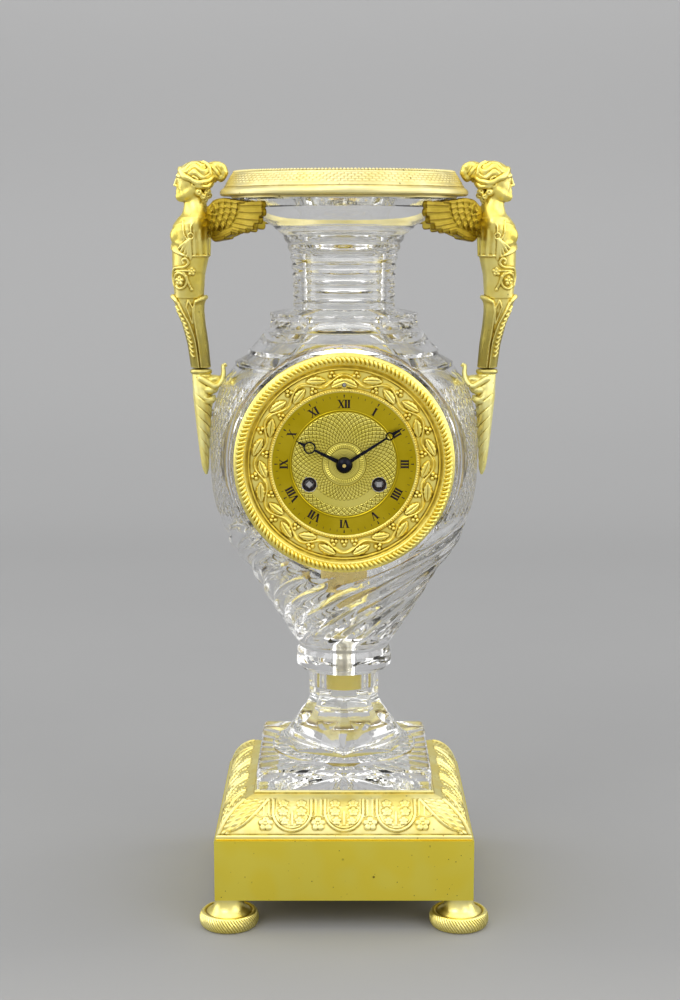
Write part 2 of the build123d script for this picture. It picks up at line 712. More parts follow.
# The hollow inside the vase, flat in front and behind
with BuildPart() as vase_hollow:
    with BuildSketch(Plane.XZ):
        with BuildLine():
            floor = above_knop((BELLY[0][0] - VASE_WALL, VASE_FLOOR))
            walls = [above_knop((radius - VASE_WALL, height)) for radius, height in BELLY[1:]]
            bore_foot = above_knop((NECK_BORE, NECK_BORE_FOOT))
            bore_top = above_knop((NECK_BORE, NECK_BORE_TOP))
            Line((0, floor[1]), floor)
            Spline(floor, *walls)
            Polyline(walls[-1], bore_foot, bore_top, (MOUTH_RADIUS, LIP_TOP), (0, LIP_TOP), (0, floor[1]))
        make_face()
    revolve(axis=Axis.Z)
    flatten(FLAT_HALF_DEPTH - FLAT_WALL)

# Vase: turned outside, flats with a boss for the bezels, bore for the movement
with BuildPart() as vase_glass:
    with BuildSketch(Plane.XZ):
        with BuildLine():
            lip_low = above_knop(NECK[-1])
            Polyline(
                (0, STEM_TOP),
                (KNOP_RADIUS - KNOP_BEVEL, STEM_TOP),
                (KNOP_RADIUS, STEM_TOP + KNOP_BEVEL),
                (KNOP_RADIUS, KNOP_TOP - KNOP_BEVEL),
                (WAIST[0], KNOP_TOP),
                above_knop(WAIST),
                above_knop(BELLY[0]),
            )
            Spline(*[above_knop(point) for point in BELLY])
            Polyline(*[above_knop(point) for point in [BELLY[-1], *SHOULDER, NECK[0]]])
            Spline(*[above_knop(point) for point in NECK])
            Polyline(lip_low, (lip_low[0], LIP_TOP), (0, LIP_TOP), (0, STEM_TOP))
        make_face()
    revolve(axis=Axis.Z)
    flatten(FLAT_HALF_DEPTH)
    disc(CENTRE, BOSS_RADIUS, -FLAT_HALF_DEPTH, FLAT_HALF_DEPTH)
    add(vase_hollow.part, mode=Mode.SUBTRACT)
    disc(CENTRE, CASE_BORE, -FLAT_HALF_DEPTH, FLAT_HALF_DEPTH, mode=Mode.SUBTRACT)
    with BuildSketch(Plane.XY.offset(STEM_TOP)):
        Circle(BOLT_RADIUS + SEAT_GAP)
    extrude(amount=KNOP_HEIGHT + VASE_FLOOR, mode=Mode.SUBTRACT)
    with BuildSketch(Plane.YZ):
        with Locations((0, KNOP_TOP + LEAF_BOLT_HEIGHT)):
            Circle(LEAF_BOLT_RADIUS + SEAT_GAP)
    extrude(amount=2 * BOSS_RADIUS, both=True, mode=Mode.SUBTRACT)
save(vase_glass, "vase_glass")

# Rim ring on the lip
with BuildPart() as rim_ring:
    with BuildSketch(Plane.XZ):
        with BuildLine():
            Polyline(
                (RIM_INNER_RADIUS, LIP_TOP),
                (NECK[-1][0], LIP_TOP),
                (RIM_RADIUS, LIP_TOP + RIM_EDGE_LOW),
                (RIM_RADIUS, LIP_TOP + RIM_EDGE_HIGH),
                (RIM_BEAD_RADIUS, LIP_TOP + RIM_TOP),
                (RIM_INNER_RADIUS, LIP_TOP + RIM_TOP),
                close=True,
            )
        make_face()
    revolve(axis=Axis.Z)
save(rim_ring, "rim_ring")

# Handles: a winged term on a leaf bracket at the left, and its mirror image at the right
with BuildPart() as left_figure:
    for height, distance, half_width, half_depth in TERM:
        with BuildSketch(Plane.XY.offset(KNOP_TOP + height)):
            with Locations((-distance, 0)):
                Ellipse(half_width, half_depth)
    loft()
    for distance, radius in BUN:
        with BuildSketch(Plane.YZ.offset(-distance)):
            with Locations((0, KNOP_TOP + BUN_HEIGHT)):
                Circle(radius)
    loft(ruled=True)

with BuildPart() as left_wings:
    turn = radians(WING_TURN)
    for way in (-1, 1):
        along = (cos(turn), way * sin(turn), 0)
        normal = (way * sin(turn), -cos(turn), 0)
        origin = (-WING_DISTANCE, way * WING_SPREAD, KNOP_TOP)
        with BuildSketch(Plane(origin=origin, x_dir=along, z_dir=normal)) as wing_outline:
            rise = wing_outline.workplanes[0].y_dir.Z
            with BuildLine():
                Polyline(*[(run, rise * height) for run, height in WING], close=True)
            make_face()
        extrude(amount=WING_THICKNESS / 2, both=True)

with BuildPart() as left_bracket:
    for height, distance, half_width, half_depth in LEAF:
        with BuildSketch(Plane.XY.offset(KNOP_TOP + height)):
            with Locations((-distance, 0)):
                Ellipse(half_width, half_depth)
    loft()
    with BuildSketch(Plane.XY.offset(KNOP_TOP + LEAF[-1][0])):
        with Locations((-TERM[0][1], 0)):
            Circle(LEAF_RING_RADIUS)
    extrude(amount=TERM[0][0] - LEAF[-1][0])
    with BuildSketch(Plane.YZ.offset(-LEAF_BOLT_DISTANCE - LEAF_BOLT_DEPTH)):
        with Locations((0, KNOP_TOP + LEAF_BOLT_HEIGHT)):
            Circle(LEAF_BOLT_RADIUS + SCREW_GAP)
    extrude(amount=2 * LEAF_BOLT_DEPTH, mode=Mode.SUBTRACT)

for piece, name in ((left_figure, "figure"), (left_wings, "wings"), (left_bracket, "bracket")):
    save(piece, f"left_{name}")
    with BuildPart() as twin:
        add(mirror(piece.part, about=Plane.YZ, mode=Mode.PRIVATE))
    save(twin, f"right_{name}")

# Bolts from inside the vase into the leaf brackets
with BuildPart() as bracket_bolts:
    for sign in (-1, 1):
        nut_face = LEAF_BOLT_DISTANCE - LEAF_BOLT_GRIP
        with BuildSketch(Plane.YZ.offset(sign * nut_face)):
            with Locations((0, KNOP_TOP + LEAF_BOLT_HEIGHT)):
                Circle(LEAF_BOLT_RADIUS)
        extrude(amount=sign * (LEAF_BOLT_GRIP + LEAF_BOLT_DEPTH))
        with BuildSketch(Plane.YZ.offset(sign * nut_face)):
            with Locations((0, KNOP_TOP + LEAF_BOLT_HEIGHT)):
                RegularPolygon(LEAF_NUT_RADIUS, HEX_SIDES)
        extrude(amount=-sign * LEAF_NUT_THICKNESS)
save(bracket_bolts, "bracket_bolts")

# Bezel: cable ring, frieze, bead ring and the spigot that enters the bore
with BuildPart() as bezel:
    with BuildSketch(Plane.XY.offset(DIAL_HEIGHT)):
        with BuildLine():
            frieze = FLAT - FRIEZE_RISE
            bead = FLAT - BEAD_RISE
            edge_front = FLAT - BEZEL_EDGE
            cable_low = (CABLE_OUTER, edge_front)
            cable_high = (CABLE_INNER, frieze)
            Polyline((SPIGOT_OUTER, FLAT), (BEZEL_RADIUS, FLAT), (BEZEL_RADIUS, edge_front), cable_low)
            ThreePointArc(cable_low, ((CABLE_OUTER + CABLE_INNER) / 2, FLAT - CABLE_RISE), cable_high)
            Polyline(
                cable_high,
                (BEAD_OUTER, frieze),
                (BEAD_OUTER, bead),
                (DIAL_OPENING, bead),
                (DIAL_OPENING, DIAL_FRONT),
                (SPIGOT_INNER, DIAL_FRONT),
                (SPIGOT_INNER, FLAT + SPIGOT_DEPTH),
                (SPIGOT_OUTER, FLAT + SPIGOT_DEPTH),
                (SPIGOT_OUTER, FLAT),
            )
        make_face()
    revolve(axis=DIAL_AXIS)
    regulator = (0.0, REGULATOR_HEIGHT)
    disc(regulator, REGULATOR_HOLE, FLAT - CABLE_RISE, FLAT, mode=Mode.SUBTRACT)
    notch_top = (0.0, SPIGOT_OUTER + SEAT_GAP)
    notch_foot = (0.0, DIAL_OPENING)
    bar(notch_foot, notch_top, REGULATOR_NOTCH, FLAT, FLAT + SPIGOT_DEPTH, mode=Mode.SUBTRACT)
    for angle in (*PLATE_SCREW_ANGLES, *STRAP_ANGLES):
        spoke(angle, PLATE_MIDDLE, DIAL_RADIUS, SPIGOT_OUTER, SCREW_RADIUS + SCREW_GAP, mode=Mode.SUBTRACT)
save(bezel, "bezel")

# Dial with its holes and three feet
with BuildPart() as dial_plate:
    disc(CENTRE, DIAL_RADIUS, DIAL_FRONT, DIAL_BACK)
    disc(CENTRE, CENTRE_HOLE, DIAL_FRONT, DIAL_BACK, mode=Mode.SUBTRACT)
    for centre in (GOING, STRIKE):
        disc(centre, WINDING_HOLE, DIAL_FRONT, DIAL_BACK, mode=Mode.SUBTRACT)
    for angle in DIAL_FOOT_ANGLES:
        disc(polar(CENTRE, DIAL_FOOT_CIRCLE, angle), DIAL_FOOT_RADIUS, DIAL_BACK, FRONT_FACE)
save(dial_plate, "dial_plate")


def hand(sizes, front, eye_radius, bore):
    """A pierced hand in the current part: tapered shaft, open ring and point."""
    length, ring_at, ring_radius, wide, narrow, clock_angle = sizes
    turn = radians(90 - clock_angle)
    ring_hole = ring_radius - HAND_RING_WALL
    with BuildSketch(across(CENTRE, front + HAND_THICKNESS, turn)) as outline:
        Circle(eye_radius)
        before = ring_at - ring_hole - HAND_RING_WALL / 2
        after = ring_at + ring_hole + HAND_RING_WALL / 2
        Polygon((0, -wide), (before, -narrow), (before, narrow), (0, wide), align=None)
        root = HAND_POINT_ROOT
        Polygon((after, -root), (length, -HAND_POINT), (length, HAND_POINT), (after, root), align=None)
        with Locations((ring_at, 0)):
            Circle(ring_radius)
            Circle(ring_hole, mode=Mode.SUBTRACT)
        Circle(bore, mode=Mode.SUBTRACT)
    extrude(outline.sketch, amount=HAND_THICKNESS)


# Hands and motion work
with BuildPart() as hour_hand:
    hand(HOUR_HAND, HOUR_FRONT, HOUR_EYE_RADIUS, HOUR_PIPE + SCREW_GAP)
save(hour_hand, "hour_hand")

with BuildPart() as minute_hand:
    hand(MINUTE_HAND, MINUTE_FRONT, MINUTE_EYE_RADIUS, CANNON_PIPE + SCREW_GAP)
    with BuildSketch(Plane.XY.offset(DIAL_HEIGHT)):
        with BuildLine():
            rim_point = (MINUTE_EYE_RADIUS, MINUTE_FRONT)
            dome_point = (CENTRE_ARBOR + SCREW_GAP, MINUTE_FRONT - DOME_HEIGHT)
            Polyline(dome_point, (CENTRE_ARBOR + SCREW_GAP, MINUTE_FRONT), rim_point)
            RadiusArc(rim_point, dome_point, DOME_ROUND)
        make_face()
    revolve(axis=DIAL_AXIS)
save(minute_hand, "minute_hand")

with BuildPart() as cannon_pinion:
    cannon_back = CANNON_LAYER + WHEEL_THICKNESS
    pinion(CENTRE, MOTION, CANNON_TEETH, MINUTE_MODULE, CANNON_LAYER - PINION_OVERHANG, cannon_back)
    disc(CENTRE, CANNON_PIPE, MINUTE_FRONT, CANNON_LAYER)
    disc(CENTRE, CENTRE_ARBOR + SCREW_GAP, MINUTE_FRONT, cannon_back, mode=Mode.SUBTRACT)
save(cannon_pinion, "cannon_pinion")

with BuildPart() as minute_wheel:
    wheel(MOTION, CENTRE, MINUTE_TEETH, MINUTE_MODULE, CANNON_LAYER)
    pinion(MOTION, CENTRE, HOUR_PINION, HOUR_MODULE, HOUR_LAYER - PINION_OVERHANG, CANNON_LAYER)
    disc(MOTION, MOTION_STUD + SHAFT_GAP, DIAL_BACK, FRONT_FACE, mode=Mode.SUBTRACT)
save(minute_wheel, "minute_wheel")

with BuildPart() as hour_wheel:
    wheel(CENTRE, MOTION, HOUR_TEETH, HOUR_MODULE, HOUR_LAYER, hub=HOUR_HUB)
    disc(CENTRE, HOUR_PIPE, HOUR_FRONT, HOUR_LAYER + WHEEL_THICKNESS)
    disc(CENTRE, CANNON_PIPE + SHAFT_GAP, HOUR_FRONT, HOUR_LAYER + WHEEL_THICKNESS, mode=Mode.SUBTRACT)
save(hour_wheel, "hour_wheel")

# Plates, with a hole for every pivot, pillar and screw
ARBORS = (SECOND, STRIKE_SECOND, THIRD, ESCAPE, ANCHOR, PINWHEEL, WARNING, FLY)

with BuildPart() as front_plate:
    disc(CENTRE, DIAL_RADIUS, FRONT_FACE, FRONT_INSIDE)
    disc(MOTION, MOTION_STUD, HOUR_LAYER - LAYER_GAP, FRONT_FACE)
    for centre in (GOING, STRIKE):
        disc(polar(centre, CLICK_DISTANCE, CLICK_ANGLE), CLICK_STUD, CLICK_LAYER - SEAT_GAP, FRONT_FACE)
        disc(centre, BARREL_ARBOR + RUNNING_GAP, FRONT_FACE, FRONT_INSIDE, mode=Mode.SUBTRACT)
    for centre in ARBORS:
        disc(centre, PIVOT_RADIUS + RUNNING_GAP, FRONT_FACE, FRONT_INSIDE, mode=Mode.SUBTRACT)
    disc(HAMMER_PIVOT, PIVOT_RADIUS + RUNNING_GAP, FRONT_FACE, FRONT_INSIDE, mode=Mode.SUBTRACT)
    disc(CENTRE, CENTRE_ARBOR + RUNNING_GAP, FRONT_FACE, FRONT_INSIDE, mode=Mode.SUBTRACT)
    for centre in PILLARS:
        disc(centre, TENON_RADIUS + SCREW_GAP, FRONT_FACE, FRONT_INSIDE, mode=Mode.SUBTRACT)
    for angle in PLATE_SCREW_ANGLES:
        hole = SCREW_RADIUS + SCREW_GAP
        spoke(angle, PLATE_MIDDLE, PLATE_SCREW_END, DIAL_RADIUS, hole, mode=Mode.SUBTRACT)
save(front_plate, "front_plate")

with BuildPart() as back_plate:
    disc(CENTRE, DIAL_RADIUS, BACK_INSIDE, BACK_FACE)
    for centre in (GOING, STRIKE):
        disc(centre, BARREL_PIVOT + RUNNING_GAP, BACK_INSIDE, BACK_FACE, mode=Mode.SUBTRACT)
    for centre in (CENTRE, *ARBORS, HAMMER_PIVOT):
        disc(centre, PIVOT_RADIUS + RUNNING_GAP, BACK_INSIDE, BACK_FACE, mode=Mode.SUBTRACT)
    for centre in PILLARS:
        disc(centre, TENON_RADIUS + SCREW_GAP, BACK_INSIDE, BACK_FACE, mode=Mode.SUBTRACT)
save(back_plate, "back_plate")

with BuildPart() as plate_pillars:
    for centre in PILLARS:
        disc(centre, PILLAR_RADIUS, FRONT_INSIDE, BACK_INSIDE)
        disc(centre, TENON_RADIUS, FRONT_FACE - TENON_LENGTH, FRONT_INSIDE)
        disc(centre, TENON_RADIUS, BACK_INSIDE, BACK_FACE)
        with Locations((centre[0], FRONT_FACE - TENON_LENGTH / 2, DIAL_HEIGHT + centre[1])):
            Cylinder(PIN_RADIUS + SCREW_GAP, PIN_LENGTH, rotation=(0, 90, 0), mode=Mode.SUBTRACT)
save(plate_pillars, "plate_pillars")

with BuildPart() as pillar_pins:
    for centre in PILLARS:
        with Locations((centre[0], FRONT_FACE - TENON_LENGTH / 2, DIAL_HEIGHT + centre[1])):
            Cylinder(PIN_RADIUS, PIN_LENGTH, rotation=(0, 90, 0))
save(pillar_pins, "pillar_pins")

# Straps that draw the two bezels together, and the radial screws of the case
with BuildPart() as case_straps:
    for angle in STRAP_ANGLES:
        inner = polar(CENTRE, STRAP_INNER, angle)
        outer = polar(CENTRE, STRAP_INNER + STRAP_THICKNESS, angle)
        bar(inner, outer, STRAP_WIDTH, FLAT + SEAT_GAP, -FLAT - SEAT_GAP)
        for y in (PLATE_MIDDLE, -PLATE_MIDDLE):
            reach = STRAP_INNER + 2 * STRAP_THICKNESS
            spoke(angle, y, SPIGOT_INNER, reach, SCREW_RADIUS + SCREW_GAP, mode=Mode.SUBTRACT)
save(case_straps, "case_straps")

with BuildPart() as case_screws:
    for angle in PLATE_SCREW_ANGLES:
        spoke(angle, PLATE_MIDDLE, PLATE_SCREW_END, SPIGOT_OUTER, SCREW_RADIUS)
        spoke(angle, PLATE_MIDDLE, SPIGOT_OUTER, SPIGOT_OUTER + SCREW_HEAD_HEIGHT, SCREW_HEAD_RADIUS)
    strap_face = STRAP_INNER + STRAP_THICKNESS
    for angle in STRAP_ANGLES:
        for y in (PLATE_MIDDLE, -PLATE_MIDDLE):
            spoke(angle, y, SPIGOT_INNER, strap_face, SCREW_RADIUS)
            spoke(angle, y, strap_face, strap_face + SCREW_HEAD_HEIGHT, SCREW_HEAD_RADIUS)
save(case_screws, "case_screws")


def saw_points(teeth, tip, depth):
    """Corners of a saw-toothed outline."""
    points = []
    for tooth in range(teeth):
        start = 2 * pi * tooth / teeth
        end = start + 2 * pi * SAW_RUN / teeth
        points.append((tip * cos(start), tip * sin(start)))
        points.append(((tip - depth) * cos(start), (tip - depth) * sin(start)))
        points.append(((tip - depth) * cos(end), (tip - depth) * sin(end)))
    return points


def mainspring_half_turns():
    """Centre offset and radius of each half turn of the mainspring, from the hub out."""
    inner = BARREL_HUB + SEAT_GAP + SPRING_THICKNESS
    outer = BARREL_RADIUS - BARREL_WALL - SEAT_GAP - SPRING_THICKNESS
    pitch = (outer - inner) / SPRING_TURNS
    return [(-(half % 2) * pitch / 2, inner + half * pitch / 2) for half in range(2 * SPRING_TURNS)]


# Barrels: drum with its great wheel, mainspring, winding arbor with ratchet, and click
for train, centre, partner in (("going", GOING, SECOND), ("strike", STRIKE, STRIKE_SECOND)):
    drum_inside = BARREL_FRONT + BARREL_WALL
    with BuildPart() as barrel:
        disc(centre, BARREL_RADIUS, BARREL_FRONT, GREAT_LAYER)
        disc(centre, BARREL_RADIUS - BARREL_WALL, drum_inside, GREAT_LAYER, mode=Mode.SUBTRACT)
        with BuildSketch(across(centre, GREAT_LAYER + GREAT_THICKNESS)):
            phase = bearing(centre, partner)
            Polygon(*tooth_points(GREAT_TEETH, GREAT_MODULE, WHEEL_TOOTH, phase), align=None)
        extrude(amount=GREAT_THICKNESS)
        barrel_back = GREAT_LAYER + GREAT_THICKNESS
        disc(centre, BARREL_ARBOR + SHAFT_GAP, BARREL_FRONT, barrel_back, mode=Mode.SUBTRACT)
    save(barrel, f"{train}_barrel")

    with BuildPart() as mainspring:
        with BuildSketch(across(centre, GREAT_LAYER - SEAT_GAP)):
            for half, (offset, radius) in enumerate(mainspring_half_turns()):
                way = 1 if half % 2 == 0 else -1
                outer_radius = radius + SPRING_THICKNESS / 2
                inner_radius = radius - SPRING_THICKNESS / 2
                with BuildLine():
                    outside = CenterArc((offset, 0), outer_radius, 0, way * 180)
                    inside = CenterArc((offset, 0), inner_radius, 0, way * 180)
                    Line(outside @ 0, inside @ 0)
                    Line(outside @ 1, inside @ 1)
                make_face()
        extrude(amount=GREAT_LAYER - drum_inside - 2 * SEAT_GAP)
    save(mainspring, f"{train}_mainspring")

    with BuildPart() as winding_arbor:
        disc(centre, BARREL_ARBOR, FRONT_FACE - SEAT_GAP, BACK_INSIDE - END_SHAKE)
        disc(centre, BARREL_HUB, drum_inside + SEAT_GAP, GREAT_LAYER - SEAT_GAP)
        disc(centre, BARREL_PIVOT, BACK_INSIDE - END_SHAKE, BACK_FACE)
        with BuildSketch(across(centre, FRONT_FACE - SEAT_GAP)):
            Polygon(*saw_points(RATCHET_TEETH, RATCHET_RADIUS, RATCHET_DEPTH), align=None)
        extrude(amount=RATCHET_THICKNESS)
        with BuildSketch(across(centre, CLICK_LAYER, SQUARE_TURN[train])):
            Rectangle(KEY_SQUARE, KEY_SQUARE)
        extrude(amount=CLICK_LAYER - DIAL_FRONT - KEY_RECESS)
    save(winding_arbor, f"{train}_arbor")

    with BuildPart() as click:
        pivot = polar(centre, CLICK_DISTANCE, CLICK_ANGLE)
        nose = polar(centre, RATCHET_RADIUS + SEAT_GAP + CLICK_NOSE / 2, CLICK_ANGLE + CLICK_LEAD)
        disc(pivot, CLICK_RADIUS, CLICK_LAYER, FRONT_FACE - SEAT_GAP)
        bar(pivot, nose, CLICK_NOSE, CLICK_LAYER, FRONT_FACE - SEAT_GAP)
        disc(pivot, CLICK_STUD + SHAFT_GAP, CLICK_LAYER, FRONT_FACE - SEAT_GAP, mode=Mode.SUBTRACT)
    save(click, f"{train}_click")

# Going train
with BuildPart() as intermediate_wheel:
    wheel(SECOND, CENTRE, SECOND_TEETH, SECOND_MODULE, SECOND_LAYER)
    span = pinion_span(GREAT_LAYER, GREAT_THICKNESS)
    pinion(SECOND, GOING, GREAT_PINION, GREAT_MODULE, *span)
    arbor(SECOND, *span)
save(intermediate_wheel, "intermediate_wheel")

with BuildPart() as centre_wheel:
    wheel(CENTRE, THIRD, CENTRE_TEETH, CENTRE_MODULE, CENTRE_LAYER)
    span = pinion_span(SECOND_LAYER)
    pinion(CENTRE, SECOND, SECOND_PINION, SECOND_MODULE, *span)
    disc(CENTRE, CENTRE_ARBOR, MINUTE_FRONT - DOME_HEIGHT, BACK_INSIDE - END_SHAKE)
    disc(CENTRE, PIVOT_RADIUS, BACK_INSIDE - END_SHAKE, BACK_FACE)
save(centre_wheel, "centre_wheel")

with BuildPart() as third_wheel:
    wheel(THIRD, ESCAPE, THIRD_TEETH, THIRD_MODULE, THIRD_LAYER)
    span = pinion_span(CENTRE_LAYER)
    pinion(THIRD, CENTRE, CENTRE_PINION, CENTRE_MODULE, *span)
    arbor(THIRD, *span)
save(third_wheel, "third_wheel")

with BuildPart() as escape_wheel:
    span = pinion_span(THIRD_LAYER)
    pinion(ESCAPE, THIRD, THIRD_PINION, THIRD_MODULE, *span)
    arbor(ESCAPE, *span)
    with BuildSketch(across(ESCAPE, ESCAPE_LAYER + WHEEL_THICKNESS)):
        rim = ESCAPE_RADIUS - ESCAPE_DEPTH - RIM_WIDTH
        Polygon(*saw_points(ESCAPE_TEETH, ESCAPE_RADIUS, ESCAPE_DEPTH), align=None)
        Circle(rim, mode=Mode.SUBTRACT)
        Circle(HUB_RADIUS)
        with PolarLocations(rim / 2, SPOKES):
            Rectangle(rim + RIM_WIDTH / 2, SPOKE_WIDTH)
    extrude(amount=WHEEL_THICKNESS)
save(escape_wheel, "escape_wheel")

# Anchor with its crutch, whose fork holds the pendulum rod
with BuildPart() as anchor:
    pallet_back = ESCAPE_LAYER + WHEEL_THICKNESS
    crutch_back = CRUTCH_LAYER + WHEEL_THICKNESS
    arbor(ANCHOR, ESCAPE_LAYER, ESCAPE_LAYER)
    disc(ANCHOR, HUB_RADIUS, ESCAPE_LAYER, pallet_back)
    for angle in (90 - PALLET_ANGLE, 90 + PALLET_ANGLE):
        shoulder = polar(ESCAPE, PALLET_RADIUS + PALLET_LENGTH, angle)
        nib = polar(ESCAPE, PALLET_RADIUS, angle)
        bar(ANCHOR, shoulder, PALLET_WIDTH, ESCAPE_LAYER, pallet_back)
        bar(shoulder, nib, PALLET_WIDTH, ESCAPE_LAYER, pallet_back)
    disc(ANCHOR, PIVOT_RADIUS, BACK_FACE, crutch_back)
    disc(ANCHOR, HUB_RADIUS, CRUTCH_LAYER, crutch_back)
    crutch_end = (0.0, ANCHOR[1] - CRUTCH_LENGTH)
    bar(ANCHOR, crutch_end, PALLET_WIDTH, CRUTCH_LAYER, crutch_back)
    prong = PENDULUM_ROD + FORK_GAP + PALLET_WIDTH / 2
    fork_low = (-prong - PALLET_WIDTH / 2, crutch_end[1])
    fork_high = (prong + PALLET_WIDTH / 2, crutch_end[1])
    bar(fork_low, fork_high, PALLET_WIDTH, CRUTCH_LAYER, crutch_back)
    for x in (-prong, prong):
        foot_of_prong = (x, crutch_end[1] - PALLET_WIDTH / 2)
        head_of_prong = (x, crutch_end[1] + PALLET_WIDTH / 2)
        bar(foot_of_prong, head_of_prong, PALLET_WIDTH, CRUTCH_LAYER, PENDULUM_Y + PRONG_REACH)
save(anchor, "anchor")

# Suspension: cock on the back plate, silk thread, regulator arbor, pendulum
shelf_low = ANCHOR[1] + HUB_RADIUS + SEAT_GAP
shelf_high = shelf_low + COCK_THICKNESS
cock_back = PENDULUM_Y + COCK_REACH
cock_top = REGULATOR_HEIGHT + REGULATOR_RADIUS + COCK_EDGE
with BuildPart() as suspension_cock:
    cock_foot = (0.0, ANCHOR[1] - COCK_DROP)
    bar(cock_foot, (0.0, cock_top), 2 * COCK_HALF_WIDTH, BACK_FACE, BACK_FACE + COCK_THICKNESS)
    bar((0.0, shelf_low), (0.0, shelf_high), 2 * COCK_HALF_WIDTH, BACK_FACE, cock_back)
    bar((0.0, shelf_low), (0.0, cock_top), COCK_HALF_WIDTH, cock_back - COCK_THICKNESS, cock_back)
    disc(regulator, REGULATOR_RADIUS + RUNNING_GAP, BACK_FACE, cock_back, mode=Mode.SUBTRACT)
    disc(ANCHOR, PIVOT_RADIUS + SEAT_GAP, BACK_FACE, BACK_FACE + COCK_THICKNESS, mode=Mode.SUBTRACT)
    with BuildSketch(Plane.XY.offset(DIAL_HEIGHT + shelf_low)):
        with Locations((0, PENDULUM_Y)):
            Circle(THREAD_RADIUS + SHAFT_GAP)
    extrude(amount=COCK_THICKNESS, mode=Mode.SUBTRACT)
save(suspension_cock, "suspension_cock")

with BuildPart() as suspension_thread:
    thread_top = REGULATOR_HEIGHT - REGULATOR_RADIUS - SHAFT_GAP
    with BuildSketch(Plane.XY.offset(DIAL_HEIGHT + ANCHOR[1])):
        with Locations((0, PENDULUM_Y)):
            Circle(THREAD_RADIUS)
    extrude(amount=thread_top - ANCHOR[1])
save(suspension_thread, "suspension_thread")

with BuildPart() as regulator_arbor:
    disc(regulator, REGULATOR_RADIUS, FLAT - FRIEZE_RISE + KEY_RECESS, cock_back)
save(regulator_arbor, "regulator_arbor")

with BuildPart() as pendulum_rod:
    rod_top = ANCHOR[1] - SEAT_GAP
    bob_centre = (0.0, ANCHOR[1] - PENDULUM_LENGTH)
    with BuildSketch(Plane.XY.offset(DIAL_HEIGHT + bob_centre[1])):
        with Locations((0, PENDULUM_Y)):
            Circle(PENDULUM_ROD)
    extrude(amount=rod_top - bob_centre[1])
save(pendulum_rod, "pendulum_rod")

with BuildPart() as pendulum_bob:
    with BuildSketch(Plane.XY.offset(DIAL_HEIGHT + bob_centre[1])):
        with BuildLine():
            Polyline(
                (0, PENDULUM_Y - BOB_THICKNESS / 2),
                (BOB_FLAT, PENDULUM_Y - BOB_THICKNESS / 2),
                (BOB_RADIUS, PENDULUM_Y - BOB_EDGE / 2),
                (BOB_RADIUS, PENDULUM_Y + BOB_EDGE / 2),
                (BOB_FLAT, PENDULUM_Y + BOB_THICKNESS / 2),
                (0, PENDULUM_Y + BOB_THICKNESS / 2),
                close=True,
            )
        make_face()
    revolve(axis=Axis((0, 0, DIAL_HEIGHT + bob_centre[1]), (0, 1, 0)))
    with BuildSketch(Plane.XY.offset(DIAL_HEIGHT + bob_centre[1])):
        with Locations((0, PENDULUM_Y)):
            Circle(PENDULUM_ROD + SCREW_GAP)
    extrude(amount=BOB_RADIUS, mode=Mode.SUBTRACT)
save(pendulum_bob, "pendulum_bob")

# Strike train
with BuildPart() as strike_second_wheel:
    wheel(STRIKE_SECOND, PINWHEEL, SECOND_TEETH, SECOND_MODULE, STRIKE_LAYER)
    span = pinion_span(GREAT_LAYER, GREAT_THICKNESS)
    pinion(STRIKE_SECOND, STRIKE, GREAT_PINION, GREAT_MODULE, *span)
    arbor(STRIKE_SECOND, *span)
    disc(STRIKE_SECOND, PIVOT_RADIUS, BACK_FACE, COUNT_LAYER + WHEEL_THICKNESS)
save(strike_second_wheel, "strike_second_wheel")

# Count wheel: a notch after each run of one to twelve blows
with BuildPart() as count_wheel:
    count_back = COUNT_LAYER + WHEEL_THICKNESS
    disc(STRIKE_SECOND, COUNT_RADIUS, COUNT_LAYER, count_back)
    blows = sum(range(1, HOURS + 1)) + HOURS
    struck = 0
    for hour in range(1, HOURS + 1):
        struck += hour + 1
        angle = 360 * struck / blows
        inner = polar(STRIKE_SECOND, COUNT_RADIUS - COUNT_NOTCH, angle)
        outer = polar(STRIKE_SECOND, COUNT_RADIUS + COUNT_NOTCH, angle)
        bar(inner, outer, COUNT_NOTCH_WIDTH, COUNT_LAYER, count_back, mode=Mode.SUBTRACT)
    disc(STRIKE_SECOND, PIVOT_RADIUS + SCREW_GAP, COUNT_LAYER, count_back, mode=Mode.SUBTRACT)
save(count_wheel, "count_wheel")

with BuildPart() as pin_wheel:
    wheel(PINWHEEL, WARNING, PINWHEEL_TEETH, PINWHEEL_MODULE, PINWHEEL_LAYER)
    span = pinion_span(STRIKE_LAYER)
    pinion(PINWHEEL, STRIKE_SECOND, SECOND_PINION, SECOND_MODULE, *span)
    arbor(PINWHEEL, *span)
    pin_front = PINWHEEL_LAYER + WHEEL_THICKNESS
    for index in range(STRIKE_PINS):
        place = polar(PINWHEEL, STRIKE_PIN_CIRCLE, 360 * index / STRIKE_PINS)
        disc(place, STRIKE_PIN_RADIUS, PINWHEEL_LAYER, pin_front + STRIKE_PIN_LENGTH)
save(pin_wheel, "pin_wheel")

with BuildPart() as warning_wheel:
    wheel(WARNING, FLY, WARNING_TEETH, WARNING_MODULE, WARNING_LAYER)
    span = pinion_span(PINWHEEL_LAYER)
    pinion(WARNING, PINWHEEL, PINWHEEL_PINION, PINWHEEL_MODULE, *span)
    arbor(WARNING, *span)
save(warning_wheel, "warning_wheel")

with BuildPart() as fly:
    span = pinion_span(WARNING_LAYER)
    pinion(FLY, WARNING, WARNING_PINION, WARNING_MODULE, *span)
    arbor(FLY, *span)
    vane_low = (FLY[0] - FLY_RADIUS, FLY[1])
    vane_high = (FLY[0] + FLY_RADIUS, FLY[1])
    vane_front = BARREL_FRONT + LAYER_GAP
    bar(vane_low, vane_high, FLY_THICKNESS, vane_front, vane_front + FLY_LENGTH)
save(fly, "fly")

